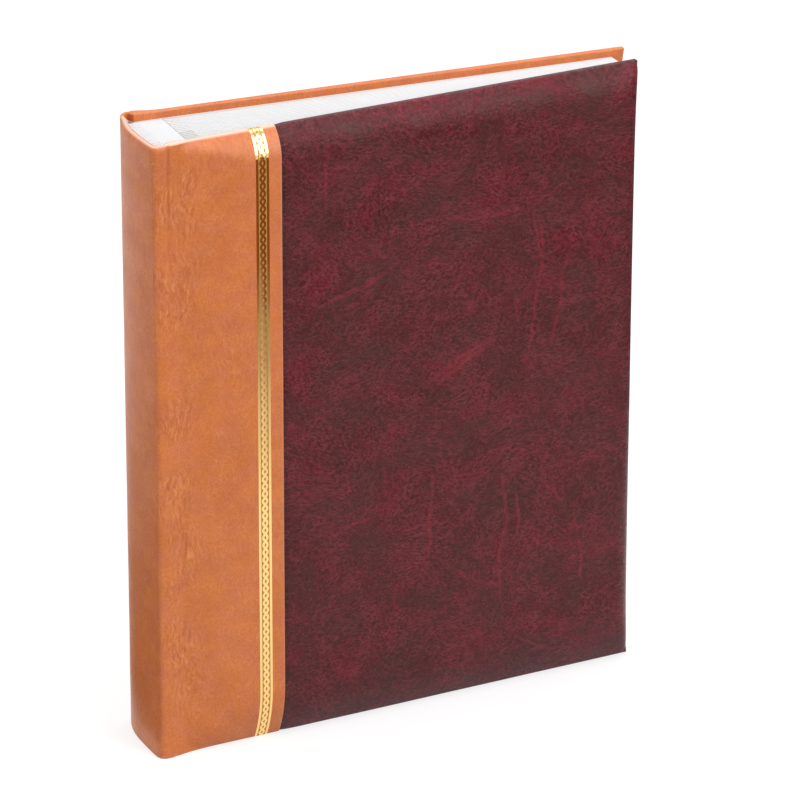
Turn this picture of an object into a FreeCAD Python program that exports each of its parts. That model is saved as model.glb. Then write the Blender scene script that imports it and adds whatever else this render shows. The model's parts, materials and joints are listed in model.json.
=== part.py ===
import FreeCAD, Part
import os
import Sketcher

# A stamp album that stands on its tail. +X runs from the spine to the fore-edge, -Y is the
# front cover and +Z is the head. The origin lies under the middle of the album.

LEAVES = 16
STRIPS = 9
FRONT = -1
BACK = 1

SIZES = {
    "cover_height": 305.0,
    "overhang": 3.5,
    "leaf_width": 220.9,
    "leaf_thickness": 0.5,
    "leaf_air": 0.2,
    "leaf_start": 0.15,
    "strip_film": 0.05,
    "strip_height": 29.0,
    "strip_pitch": 32.5,
    "strip_foot": 4.0,
    "strip_margin": 5.0,
    "stub_thickness": 1.89,
    "stub_reach": 14.0,
    "hinge_cloth": 0.2,
    "hinge_slack": 0.5,
    "endpaper": 0.15,
    "cover_air": 0.3,
    "leather": 0.5,
    "board_thickness": 2.0,
    "turn_in": 15.0,
    "joint_slit": 0.15,
    "joint_flat": 5.0,
    "crown": 7.0,
    "roll_spine": 38.0,
    "roll_fore": 9.0,
    "roll_head": 14.0,
    "roll_tail": 28.0,
    "quarter_width": 54.0,
    "band_width": 6.3,
    "band_margin": 6.5,
    "foil": 0.1,
    "shoulder": 4.3,
    "spine_round": 5.0,
    "ridge_radius": 3.0,
    "spine_card": 1.0,
    "lining": 0.5,
    "lining_air": 0.2,
}

# Fits worked out from the driving sizes. The block of leaves is thick at the stubs and thin at
# the fore-edge, and the covers lie along its outermost flyleaves.
OUTERMOST = (LEAVES + 1) / 2
SPINE_PITCH = "(Size.stub_thickness + Size.hinge_cloth)"
FORE_PITCH = "(Size.leaf_thickness + 2 * Size.strip_film + Size.leaf_air)"
FAN = f"(({SPINE_PITCH} - {FORE_PITCH}) / Size.leaf_width)"
WEDGE = f"asin({OUTERMOST} * {FAN})"
TURNED_WALL = "(2 * Size.leather + Size.board_thickness)"
COVER_GAP = f"({TURNED_WALL} + 1.5 * Size.endpaper + Size.cover_air)"
AXIS_REACH = "(Size.stub_reach + Size.hinge_slack)"
STACK = f"({OUTERMOST} * {SPINE_PITCH})"
BREADTH = f"({STACK} + {COVER_GAP} / cos({WEDGE}) + {AXIS_REACH} * tan({WEDGE}))"
FLYLEAF_ROOT = f"({AXIS_REACH} * cos({WEDGE}) + ({BREADTH} - {STACK}) * sin({WEDGE}))"
COVER_WIDTH = f"({FLYLEAF_ROOT} + Size.leaf_width + Size.overhang)"
CREASE = f"((Size.shoulder + Size.spine_round - {COVER_WIDTH} * cos({WEDGE})) / 2)"
LEAF_HEIGHT = "(Size.cover_height - 2 * Size.overhang)"

# The padding is level between these lines and rolls off outside them.
PLATEAU_START = "(Size.joint_flat + Size.roll_spine)"
PLATEAU_END = f"({COVER_WIDTH} - Size.roll_fore)"
PLATEAU_LOW = "Size.roll_tail"
PLATEAU_HIGH = "(Size.cover_height - Size.roll_head)"

# The round of the spine: one large arc between two small ridge arcs.
ROUND = f"(({BREADTH} * {BREADTH} + Size.spine_round * Size.spine_round) / (2 * Size.spine_round))"
ROUND_CENTRE = f"({ROUND} - Size.shoulder - Size.spine_round)"
RIDGE_SPAN = f"({ROUND} - Size.ridge_radius)"
RIDGE_RISE = f"({BREADTH} - Size.ridge_radius)"
RIDGE_RUN = f"sqrt({RIDGE_SPAN} * {RIDGE_SPAN} - {RIDGE_RISE} * {RIDGE_RISE})"
RIDGE_CENTRE = f"({ROUND_CENTRE} - {RIDGE_RUN})"
CARD_INSIDE = "(Size.leather + Size.spine_card)"
SPINE_INSIDE = "(2 * Size.leather + Size.spine_card)"
LINING_OUTSIDE = f"({SPINE_INSIDE} + Size.lining_air)"
BLOCK_BACK = f"({LINING_OUTSIDE} + Size.lining)"

doc = FreeCAD.newDocument("stamp_album")
sheet = doc.addObject("Spreadsheet::Sheet", "Size")
for row, (alias, size) in enumerate(SIZES.items(), start=1):
    sheet.set(f"A{row}", alias)
    sheet.set(f"B{row}", str(size))
    sheet.setAlias(f"B{row}", alias)
doc.recompute()

subparts = []


def value(expression):
    result = sheet.evalExpression(expression)
    return float(getattr(result, "Value", result))


def keep(piece):
    subparts.append(piece)
    return piece


def bind(sketch, constraint, expression):
    index = sketch.addConstraint(constraint)
    sketch.setExpression(f"Constraints[{index}]", expression)


# An arc from start to finish whose centre has the given X or Y.
def arc_between(start, finish, axis, centre):
    chord = finish - start
    squares = (finish.dot(finish) - start.dot(start)) / 2
    if axis == "X":
        middle = FreeCAD.Vector(centre, (squares - centre * chord.x) / chord.y, 0)
    else:
        middle = FreeCAD.Vector((squares - centre * chord.y) / chord.x, centre, 0)
    outward = ((start + finish) / 2 - middle).normalize()
    return Part.Arc(start, middle + outward * middle.distanceToPoint(start), finish)


# A closed outline. Each corner is an (x, y) pair of expressions. arcs names the edges that are
# round, each with the axis and the expression that place its centre.
def draw(sketch, corners, arcs):
    points = [FreeCAD.Vector(value(x), value(y), 0) for x, y in corners]
    edges = []
    for number, start in enumerate(points):
        finish = points[(number + 1) % len(points)]
        curve = Part.LineSegment(start, finish)
        if number in arcs:
            axis, centre = arcs[number]
            curve = arc_between(start, finish, axis, value(centre))
        edge = sketch.addGeometry(curve, False)
        first = sketch.getPoint(edge, 1)
        forward = first.distanceToPoint(start) < first.distanceToPoint(finish)
        edges.append((edge, 1, 2) if forward else (edge, 2, 1))
    for number, (edge, begin, end) in enumerate(edges):
        following, next_begin, _ = edges[(number + 1) % len(edges)]
        sketch.addConstraint(Sketcher.Constraint("Coincident", edge, end, following, next_begin))
        x, y = corners[number]
        bind(sketch, Sketcher.Constraint("DistanceX", edge, begin, points[number].x), x)
        bind(sketch, Sketcher.Constraint("DistanceY", edge, begin, points[number].y), y)
        if number in arcs:
            axis, centre = arcs[number]
            bind(sketch, Sketcher.Constraint(f"Distance{axis}", edge, 3, value(centre)), centre)


def sketch_on(body, name, role, offset, outlines):
    sketch = body.newObject("Sketcher::SketchObject", f"{name}_sketch")
    plane = next(item for item in body.Origin.OriginFeatures if item.Role == role)
    sketch.AttachmentSupport = [(plane, "")]
    sketch.MapMode = "FlatFace"
    sketch.setExpression("AttachmentOffset.Base.z", offset)
    for corners, arcs in outlines:
        draw(sketch, corners, arcs)
    return sketch


# Material between the heights low and high over outlines in the XY plane.
def raise_pad(body, name, low, high, outlines):
    pad = body.newObject("PartDesign::Pad", name)
    pad.Profile = sketch_on(body, name, "XY_Plane", low, outlines)
    pad.setExpression("Length", f"{high} - {low}")
    return pad


def new_body(name):
    return doc.addObject("PartDesign::Body", name)


def rectangle(x_low, x_high, y_low, y_high):
    return [(x_low, y_low), (x_high, y_low), (x_high, y_high), (x_low, y_high)], {}


def plate(name, x_span, y_span, z_span):
    body = new_body(name)
    raise_pad(body, f"{name}_pad", *z_span, [rectangle(*x_span, *y_span)])
    return body


def place_cover(piece, side):
    base = f"vector({CREASE}; {side} * {BREADTH}; 0)"
    piece.setExpression("Placement", f"placement({base}; rotation({-side} * {WEDGE}; 0; 0))")
    return piece


def place_spine(piece):
    piece.setExpression("Placement.Base.x", CREASE)
    return piece


# Leaf places run from -OUTERMOST at the front flyleaf to OUTERMOST at the back flyleaf.
def place_leaf(piece, place):
    base = f"vector({CREASE} + {AXIS_REACH}; {place} * {SPINE_PITCH}; 0)"
    piece.setExpression("Placement", f"placement({base}; rotation(asin({-place} * {FAN}); 0; 0))")
    return piece


def boolean(kind, name, base, tool):
    result = doc.addObject(f"Part::{kind}", name)
    result.Base = base
    result.Tool = tool
    return result


def group(name, members):
    result = doc.addObject("Part::Compound", name)
    result.Links = members
    return result


# The round at one depth under the spine's outer face, from the front shoulder to the back one:
# both ends of the front ridge's arc, then both ends of the back ridge's arc.
def round_path(inset):
    flank = f"({BREADTH} - {inset})"
    reach = f"(({ROUND} - {inset}) / {RIDGE_SPAN})"
    ridge_x = f"({ROUND_CENTRE} - {reach} * {RIDGE_RUN})"
    ridge_y = f"({reach} * {RIDGE_RISE})"
    return [
        (RIDGE_CENTRE, f"-{flank}"),
        (ridge_x, f"-{ridge_y}"),
        (ridge_x, ridge_y),
        (RIDGE_CENTRE, flank),
    ]


# A band that follows the round between two depths. Where shoulder_end is given, straight
# shoulders carry it on to that line.
def round_band(outer, inner, shoulder_end=None):
    outside = round_path(outer)
    inside = round_path(inner)[::-1]
    if shoulder_end is not None:
        outside = [(shoulder_end, outside[0][1]), *outside, (shoulder_end, outside[-1][1])]
        inside = [(shoulder_end, inside[0][1]), *inside, (shoulder_end, inside[-1][1])]
    lead = 0 if shoulder_end is None else 1
    centres = [RIDGE_CENTRE, ROUND_CENTRE, RIDGE_CENTRE]
    arcs = {lead + step: ("X", centre) for step, centre in enumerate(centres)}
    back = len(outside) + lead
    arcs.update({back + step: ("X", centre) for step, centre in enumerate(centres)})
    return outside + inside, arcs


# Everything inside one depth under the spine's outer face, as far forward as the stubs reach.
def round_inside(inset):
    path = round_path(inset)
    corners = [("Size.stub_reach", path[0][1]), *path, ("Size.stub_reach", path[-1][1])]
    return corners, {1: ("X", RIDGE_CENTRE), 2: ("X", ROUND_CENTRE), 3: ("X", RIDGE_CENTRE)}


# The leather of the spine runs from joint to joint and is turned in over both ends of the card.
def make_spine_leather():
    body = new_body("spine_leather")
    skin = round_band("0", "Size.leather", "-Size.joint_slit")
    raise_pad(body, "spine_skin", "0", "Size.cover_height", [skin])
    end = round_band("Size.leather", CARD_INSIDE)
    raise_pad(body, "tail_fold", "0", "Size.leather", [end])
    raise_pad(body, "head_fold", "(Size.cover_height - Size.leather)", "Size.cover_height", [end])
    flap = round_band(CARD_INSIDE, SPINE_INSIDE)
    raise_pad(body, "tail_turn_in", "0", "Size.turn_in", [flap])
    raise_pad(body, "head_turn_in", "(Size.cover_height - Size.turn_in)", "Size.cover_height", [flap])
    return keep(place_spine(body))


def make_spine_card():
    body = new_body("spine_card")
    band = round_band("Size.leather", CARD_INSIDE)
    raise_pad(body, "card_pad", "Size.leather", "(Size.cover_height - Size.leather)", [band])
    return keep(place_spine(body))


def make_spine_lining():
    body = new_body("spine_lining")
    band = round_band(LINING_OUTSIDE, BLOCK_BACK)
    raise_pad(body, "lining_pad", "Size.overhang", f"(Size.overhang + {LEAF_HEIGHT})", [band])
    return keep(place_spine(body))


# Flat strips that reach from the lining to the front of the stubs, each centred on its place.
def make_block_strips(name, places, thickness):
    back = "(Size.shoulder + Size.spine_round)"
    strips = []
    for number, place in enumerate(places, start=1):
        strip = doc.addObject("Part::Box", f"{name}_{number:02d}")
        strip.setExpression("Length", f"{back} + Size.stub_reach")
        strip.setExpression("Width", thickness)
        strip.setExpression("Height", LEAF_HEIGHT)
        strip.setExpression("Placement.Base.x", f"-{back}")
        strip.setExpression("Placement.Base.y", f"{place} * {SPINE_PITCH} - {thickness} / 2")
        strip.setExpression("Placement.Base.z", "Size.overhang")
        strips.append(strip)
    room = new_body(f"{name}_room")
    raise_pad(room, f"{name}_room_pad", "0", "Size.cover_height", [round_inside(BLOCK_BACK)])
    piece = boolean("Common", name, group(f"{name}_group", strips), room)
    return keep(place_spine(piece))


# A crowned slab that keeps one depth under the cover's padded face. under closes its profile
# from the fore-edge back to the joint, in distances along and out of the cover.
def make_crown(name, side, inset, under):
    base = f"-({inset})"
    top = f"(Size.crown - {inset})"
    start = f"(Size.joint_flat + {inset})"
    end = f"({COVER_WIDTH} - {inset})"
    low = inset
    high = f"(Size.cover_height - {inset})"
    profile = [(start, base), (PLATEAU_START, top), (PLATEAU_END, top), (end, base), *under]
    corners = [(along, f"{side} * ({out})") for along, out in profile]
    body = new_body(name)
    arcs = {0: ("X", PLATEAU_START), 2: ("X", PLATEAU_END)}
    raise_pad(body, f"{name}_profile", low, high, [(corners, arcs)])
    spare = f"({top} + Size.crown)"
    waste = []
    for edge, level, beyond in ((low, PLATEAU_LOW, -1), (high, PLATEAU_HIGH, 1)):
        clear = f"({edge} + {beyond} * Size.crown)"
        ends = [(base, edge), (top, level), (spare, level), (spare, clear), (base, clear)]
        waste.append(([(f"{side} * ({out})", up) for out, up in ends], {0: ("Y", level)}))
    roll = body.newObject("PartDesign::Pocket", f"{name}_roll_off")
    roll.Profile = sketch_on(body, f"{name}_roll_off", "YZ_Plane", "0", waste)
    roll.Type = "ThroughAll"
    roll.Reversed = True
    return place_cover(body, side)


# A slice right through a cover between two distances from the joint.
def make_slab(name, side, start, end):
    span = (f"-({TURNED_WALL} + Size.crown)", f"({TURNED_WALL} + Size.crown)")
    return place_cover(plate(name, (start, end), span, ("0", "Size.cover_height")), side)


# One padded cover. Its board, filler card and padding are the core that the leather wraps.
def make_cover(name, side):
    def layer(piece, x_span, depth, thickness, margin):
        span = (f"{-side} * {depth}", f"{-side} * ({depth} + {thickness})")
        heights = (margin, f"(Size.cover_height - {margin})")
        return keep(place_cover(plate(f"{name}_{piece}", x_span, span, heights), side))

    board_end = f"({COVER_WIDTH} - Size.leather)"
    board = layer("board", ("Size.joint_flat", board_end), "Size.leather",
                  "Size.board_thickness", "Size.leather")
    filler_end = f"({board_end} - Size.turn_in)"
    filler = layer("board_filler", ("Size.joint_flat", filler_end),
                   "(Size.leather + Size.board_thickness)", "Size.leather", "Size.turn_in")
    sheet_end = f"({COVER_WIDTH} - Size.overhang)"
    layer("pastedown", ("Size.joint_flat", sheet_end), TURNED_WALL, "Size.endpaper", "Size.overhang")
    padding = keep(make_crown(f"{name}_padding", side, "Size.leather", []))
    joint = [
        (COVER_WIDTH, f"-{TURNED_WALL}"),
        ("Size.joint_flat", f"-{TURNED_WALL}"),
        ("Size.joint_flat", "-Size.leather"),
        ("Size.joint_slit", "-Size.leather"),
        ("Size.joint_slit", "0"),
    ]
    wrapped = make_crown(f"{name}_wrapped", side, "0", joint)
    core = group(f"{name}_core", [board, filler, padding])
    return wrapped, boolean("Cut", f"{name}_leather", wrapped, core)


# The front leather is a tan quarter and a burgundy panel that meet edge to edge on the cover.
# The band is foil on the quarter's face.
def make_front_cover():
    wrapped, leather = make_cover("front", FRONT)
    quarter = make_slab("quarter_slab", FRONT, "0", "Size.quarter_width")
    keep(boolean("Common", "front_quarter_leather", leather, quarter))
    keep(boolean("Cut", "front_panel_leather", leather, quarter))
    foil_edges = [(COVER_WIDTH, "0"), ("Size.joint_flat", "0")]
    gilded = make_crown("gilded", FRONT, "-Size.foil", foil_edges)
    film = boolean("Cut", "film", gilded, wrapped)
    band_end = "(Size.quarter_width - Size.band_margin)"
    band = make_slab("band_slab", FRONT, f"({band_end} - Size.band_width)", band_end)
    keep(boolean("Common", "gold_band", film, band))


def make_back_cover():
    _, leather = make_cover("back", BACK)
    leather.Label = "back_leather"
    keep(leather)


def make_sheet(name, place, thickness):
    span = (f"-{thickness} / 2", f"{thickness} / 2")
    heights = ("Size.overhang", f"(Size.overhang + {LEAF_HEIGHT})")
    return keep(place_leaf(plate(name, ("Size.leaf_start", "Size.leaf_width"), span, heights), place))


# Clear strips in rows up both faces of a leaf.
def make_strips(name, place):
    body = new_body(name)
    ends = ("(Size.leaf_start + Size.strip_margin)", "(Size.leaf_width - Size.strip_margin)")
    face = "(Size.leaf_thickness / 2)"
    film = f"({face} + Size.strip_film)"
    foot = "(Size.overhang + Size.strip_foot)"
    faces = [rectangle(*ends, face, film), rectangle(*ends, f"-{film}", f"-{face}")]
    row = raise_pad(body, f"{name}_row", foot, f"({foot} + Size.strip_height)", faces)
    rows = body.newObject("PartDesign::LinearPattern", f"{name}_rows")
    rows.Originals = [row]
    upright = next(item for item in body.Origin.OriginFeatures if item.Role == "Z_Axis")
    rows.Direction = (upright, [""])
    rows.Mode = "Spacing"
    rows.setExpression("Offset", "Size.strip_pitch")
    rows.Occurrences = STRIPS
    body.Tip = rows
    return keep(place_leaf(body, place))


def make_leaves():
    make_sheet("front_flyleaf", -OUTERMOST, "Size.endpaper")
    for number in range(1, LEAVES + 1):
        place = number - OUTERMOST
        make_sheet(f"leaf_{number:02d}", place, "Size.leaf_thickness")
        make_strips(f"leaf_{number:02d}_strips", place)
    make_sheet("back_flyleaf", OUTERMOST, "Size.endpaper")


def check_document():
    doc.recompute()
    for item in doc.Objects:
        if {"Invalid", "Error"} & set(item.State):
            raise RuntimeError(f"{item.Name} failed: {item.State}")
        if item.TypeId == "PartDesign::Pocket":
            if item.Shape.Volume >= item.BaseFeature.Shape.Volume:
                raise RuntimeError(f"{item.Name} cuts nothing")
    for piece in subparts:
        if piece.Shape.isNull() or not piece.Shape.isValid():
            raise RuntimeError(f"{piece.Label} has no valid shape")


make_spine_leather()
make_spine_card()
make_spine_lining()
make_block_strips("spacer_stubs", [gap - LEAVES / 2 for gap in range(LEAVES + 1)],
                  "Size.stub_thickness")
make_block_strips("linen_hinges", [leaf - OUTERMOST for leaf in range(LEAVES + 2)],
                  "Size.hinge_cloth")
make_front_cover()
make_back_cover()
make_leaves()
check_document()

os.makedirs("parts", exist_ok=True)
for piece in subparts:
    piece.Shape.exportStep(f"parts/{piece.Label}.step")
    print(piece.Label, len(piece.Shape.Solids), round(piece.Shape.Volume, 1))
print("joint", value(CREASE), value(BREADTH), "leaf axes", value(f"{CREASE} + {AXIS_REACH}"),
      "leaf pitch", value(SPINE_PITCH), "wedge", value(WEDGE), "cover", value(COVER_WIDTH))
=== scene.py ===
import json
import math

import bmesh
import bpy
import numpy as np
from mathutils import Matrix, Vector, noise


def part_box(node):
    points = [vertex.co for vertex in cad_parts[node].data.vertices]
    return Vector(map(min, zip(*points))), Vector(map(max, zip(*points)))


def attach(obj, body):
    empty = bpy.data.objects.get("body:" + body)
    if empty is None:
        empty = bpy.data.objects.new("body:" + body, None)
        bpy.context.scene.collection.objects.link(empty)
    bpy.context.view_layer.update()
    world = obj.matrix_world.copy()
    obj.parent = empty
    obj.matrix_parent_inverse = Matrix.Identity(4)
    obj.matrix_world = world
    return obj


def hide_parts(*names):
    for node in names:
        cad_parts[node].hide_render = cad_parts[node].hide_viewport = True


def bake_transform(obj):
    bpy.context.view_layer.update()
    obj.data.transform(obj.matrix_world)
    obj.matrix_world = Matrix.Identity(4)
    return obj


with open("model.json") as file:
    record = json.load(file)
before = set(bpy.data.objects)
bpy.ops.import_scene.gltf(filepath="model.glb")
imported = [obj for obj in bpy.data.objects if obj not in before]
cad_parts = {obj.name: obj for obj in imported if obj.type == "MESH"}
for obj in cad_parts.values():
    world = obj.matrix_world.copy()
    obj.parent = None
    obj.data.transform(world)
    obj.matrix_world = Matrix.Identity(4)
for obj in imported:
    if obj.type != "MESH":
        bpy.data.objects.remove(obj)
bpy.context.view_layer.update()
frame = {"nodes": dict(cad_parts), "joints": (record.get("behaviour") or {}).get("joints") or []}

# Spacer stubs
# Narrow strips of white card, glued up in a stack at the back of the block. They are as thick as a
# full leaf, so the leaves have room for stamps and the block is a wedge.


def linear(red, green, blue):
    parts = [c / 255 for c in (red, green, blue)]
    return [c / 12.92 if c <= 0.04045 else ((c + 0.055) / 1.055) ** 2.4 for c in parts] + [1]


def add(tree, kind, inputs=(), **settings):
    made = tree.nodes.new(kind)
    for key, value in settings.items():
        setattr(made, key, value)
    for key, value in dict(inputs).items():
        socket = made.inputs[key]
        if isinstance(value, bpy.types.NodeSocket):
            tree.links.new(value, socket)
        else:
            socket.default_value = value
    return made


def new_finish(name, **surface):
    material = bpy.data.materials.new(name)
    material.use_nodes = True
    tree = material.node_tree
    shader = next(n for n in tree.nodes if n.type == "BSDF_PRINCIPLED")
    for key, value in surface.items():
        shader.inputs[key.replace("_", " ")].default_value = value
    return material, tree, shader


def ramp(tree, value, *stops):
    made = add(tree, "ShaderNodeValToRGB", {"Fac": value})
    points = made.color_ramp.elements
    while len(points) < len(stops):
        points.new(0.5)
    for point, (position, colour) in zip(points, stops):
        point.position = position
        point.color = colour if hasattr(colour, "__len__") else [colour] * 3 + [1]
    return made.outputs["Color"]


def math_node(tree, operation, *values):
    return add(tree, "ShaderNodeMath", enumerate(values), operation=operation).outputs[0]


def blend_colour(tree, share, first, second):
    made = add(tree, "ShaderNodeMix", data_type="RGBA")
    for index, value in ((0, share), (6, first), (7, second)):
        if isinstance(value, bpy.types.NodeSocket):
            tree.links.new(value, made.inputs[index])
        else:
            made.inputs[index].default_value = value
    return made.outputs[2]


def noise_at(tree, place, scale, detail=2.0, roughness=0.5):
    return add(tree, "ShaderNodeTexNoise", {
        "Vector": place, "Scale": scale, "Detail": detail, "Roughness": roughness}).outputs["Fac"]


def bump(tree, shader, height, distance, strength=1.0):
    made = add(tree, "ShaderNodeBump", {
        "Height": height, "Distance": distance, "Strength": strength})
    tree.links.new(made.outputs["Normal"], shader.inputs["Normal"])


def object_place(tree):
    return add(tree, "ShaderNodeTexCoord").outputs["Object"]


def paper(name, pale, shaded, roughness, fibre, cut=None):
    material, tree, shader = new_finish(name, Roughness=roughness, Specular_IOR_Level=0.3)
    place = object_place(tree)
    long_fibres = add(tree, "ShaderNodeMapping", {"Vector": place, "Scale": (1, 1, 0.25)})
    cloud = noise_at(tree, place, 60, 3)
    strands = noise_at(tree, long_fibres.outputs[0], 2600, 3, 0.6)
    mixed = math_node(tree, "ADD", math_node(tree, "MULTIPLY", cloud, 0.6),
                      math_node(tree, "MULTIPLY", strands, 0.4))
    colour = ramp(tree, mixed, (0.35, shaded), (0.62, pale))
    if cut:
        # painted shade: the cut edges at head and tail, which face up or down, are painted greyer than the
        # faces, to tone down the light they catch
        normal = add(tree, "ShaderNodeNewGeometry").outputs["Normal"]
        facing = add(tree, "ShaderNodeSeparateXYZ", {0: normal}).outputs["Z"]
        edge = ramp(tree, math_node(tree, "ABSOLUTE", facing), (0.5, 0.0), (0.8, 1.0))
        colour = blend_colour(tree, edge, colour, cut)
    tree.links.new(colour, shader.inputs["Base Color"])
    shader.inputs["Subsurface Weight"].default_value = 0.4
    shader.inputs["Subsurface Radius"].default_value = (1, 1, 1)
    shader.inputs["Subsurface Scale"].default_value = 0.0005
    bump(tree, shader, strands, fibre)
    return material


def paint(node, material):
    piece = frame["nodes"][node]
    if not piece.material_slots:
        piece.data.materials.append(material)
    for slot in piece.material_slots:
        slot.material = material


stub_card = paper("stub_card", linear(220, 220, 223), linear(210, 211, 214), 0.75, 0.00002)
paint("spacer_stubs", stub_card)

# Linen hinges
# A strip of thin woven cloth for each leaf and flyleaf, glued between two stubs and along the leaf's
# inner edge. The free cloth between them is where the leaf turns.
LEAVES = 16
LEAF_THICKNESS = 0.0005
FLYLEAF_THICKNESS = 0.00015
HINGE_CLOTH = 0.0002
HINGE_GLUED = 0.007
HINGE_DEPTH = 0.012
HINGE_FREE = 0.0006
SHARP_EDGE = math.radians(40)


def quads(*corners):
    return np.stack(corners, -1).reshape(-1, 4).tolist()


def lay_map(mesh, spots):
    # the sheet's own map: where each point lies, in metres, when the sheet is flat
    layer = mesh.uv_layers.new(name="flat_map")
    corner = np.empty(len(mesh.loops), np.int32)
    mesh.loops.foreach_get("vertex_index", corner)
    layer.data.foreach_set("uv", np.asarray(spots, np.float32)[corner].ravel())


def sheet_mesh(name, outer, inner, spots):
    # outer and inner are grids of points, one each side of a thin sheet, spots the sheet's own map
    rows, columns = outer.shape[:2]
    number = np.arange(rows * columns).reshape(rows, columns)
    below = number + rows * columns
    faces = (quads(number[:-1, :-1], number[:-1, 1:], number[1:, 1:], number[1:, :-1])
             + quads(below[:-1, :-1], below[1:, :-1], below[1:, 1:], below[:-1, 1:])
             + quads(number[0, :-1], below[0, :-1], below[0, 1:], number[0, 1:])
             + quads(number[-1, :-1], number[-1, 1:], below[-1, 1:], below[-1, :-1])
             + quads(number[:-1, 0], number[1:, 0], below[1:, 0], below[:-1, 0])
             + quads(number[:-1, -1], below[:-1, -1], below[1:, -1], number[1:, -1]))
    mesh = bpy.data.meshes.new(name)
    mesh.from_pydata(np.concatenate([outer.reshape(-1, 3), inner.reshape(-1, 3)]).tolist(), [], faces)
    lay_map(mesh, np.concatenate([spots.reshape(-1, 2)] * 2))
    work = bmesh.new()
    work.from_mesh(mesh)
    bmesh.ops.recalc_face_normals(work, faces=work.faces)
    work.to_mesh(mesh)
    work.free()
    mesh.polygons.foreach_set("use_smooth", [True] * len(mesh.polygons))
    mesh.set_sharp_from_angle(angle=SHARP_EDGE)
    return put_in(name, mesh)


def put_in(name, data):
    piece = bpy.data.objects.new(name, data)
    bpy.context.scene.collection.objects.link(piece)
    return piece


def woven(name, pale, shaded, threads):
    material, tree, shader = new_finish(name, Roughness=0.85, Specular_IOR_Level=0.2)
    shader.inputs["Sheen Weight"].default_value = 0.15
    place = object_place(tree)
    waves = []
    for direction in ("X", "Z"):
        wave = add(tree, "ShaderNodeTexWave", {
            "Vector": place, "Scale": threads, "Distortion": 0.4, "Detail": 1.0},
            bands_direction=direction)
        waves.append(wave.outputs["Fac"])
    weave = math_node(tree, "MULTIPLY", *waves)
    tree.links.new(ramp(tree, weave, (0.0, shaded), (0.6, pale)), shader.inputs["Base Color"])
    bump(tree, shader, weave, 0.00008)
    return material


def hung(sheet):
    # where a sheet's hinge line is, and how far the sheet leans from the album's middle plane
    axis = Vector(joints[sheet]["pos_m"])
    low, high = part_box(sheet)
    return axis, math.atan2((low.y + high.y) - 2 * axis.y, (low.x + high.x) - 2 * axis.x)


def from_hinge(axis, lean, along, off, up):
    # points of a sheet, from how far along it and how far off it they are
    x = axis.x + along * np.cos(lean) - off * np.sin(lean)
    y = axis.y + along * np.sin(lean) + off * np.cos(lean)
    return np.stack(np.broadcast_arrays(x, y, up[:, None]), -1)


def ease(value, low, high):
    share = np.clip((np.asarray(value, float) - low) / (high - low), 0, 1)
    return share * share * (3 - 2 * share)


linen = woven("linen", linear(247, 246, 243), linear(234, 232, 226), 900)
joints = {joint["child"]: joint for joint in frame["joints"]}
leaf_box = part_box("leaf_01")
sheets = ["front_flyleaf"] + [f"leaf_{n:02d}" for n in range(1, LEAVES + 1)] + ["back_flyleaf"]
hinge_along = np.concatenate([np.linspace(-HINGE_DEPTH, -0.0005, 6), np.linspace(-0.0004, HINGE_FREE, 8),
                              np.linspace(0.001, HINGE_GLUED, 6)])
hinge_up = np.linspace(leaf_box[0].z, leaf_box[1].z, 25)
# the cloth is pressed thinner where it is glued to a leaf
hinge_cloth = HINGE_CLOTH * np.where(hinge_along > 0, 0.5, 0.95)
for sheet in sheets:
    axis, lean = hung(sheet)
    half = (FLYLEAF_THICKNESS if "fly" in sheet else LEAF_THICKNESS) / 2
    # it leaves the stubs in the middle of the leaf and climbs onto the face nearer to the cover
    climb = ease(hinge_along, -0.0005, 0.0002) * (half + HINGE_CLOTH / 2)
    toward = math.copysign(1, axis.y)
    hinge_faces = [from_hinge(axis, np.where(hinge_along > 0, lean, 0), hinge_along,
                              toward * (climb + side * hinge_cloth), hinge_up) for side in (0.5, -0.5)]
    hinge = sheet_mesh(f"linen_hinge_{sheet}", *hinge_faces,
                       np.stack(np.meshgrid(hinge_along, hinge_up), -1))
    hinge.data.materials.append(linen)
    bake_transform(hinge)
    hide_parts("linen_hinges")

# Leaves
# Sixteen stock leaves cut from smooth white card, each hung on its own linen hinge.
# the leaves' cut edges at head and tail get a painted shade
leaf_card = paper("leaf_card", linear(252, 252, 253), linear(247, 248, 249), 0.6, 0.000012,
                  cut=linear(224, 225, 228))
for sheet in sheets[1:-1]:
    paint(sheet, leaf_card)

# Clear strips
# Nine rows of clear film up each face of a leaf, glued at the foot and ends of each row, so that
# a stamp slides in from above.
film, film_tree, film_shader = new_finish(
    "clear_film", Base_Color=linear(236, 240, 244), Roughness=0.08, IOR=1.5,
    Specular_IOR_Level=0.5, Alpha=0.22)
film_cloud = noise_at(film_tree, object_place(film_tree), 90, 2)
film_tree.links.new(ramp(film_tree, film_cloud, (0.3, 0.05), (0.7, 0.14)),
                    film_shader.inputs["Roughness"])
for sheet in sheets[1:-1]:
    paint(f"{sheet}_strips", film)

# Glassine interleaves
# A sheet of thin translucent paper between each two leaves, which keeps the stamps apart. It is tipped
# on along the inner edge of the leaf nearer to the cover, and hangs free in the gap.
INTERLEAF = 0.00004
INTERLEAF_START = 0.0012
INTERLEAF_TIPPED = 0.00033
INTERLEAF_SHORT = 0.001
INTERLEAF_LEAVES, INTERLEAF_HALFWAY = 0.006, 0.04

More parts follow.
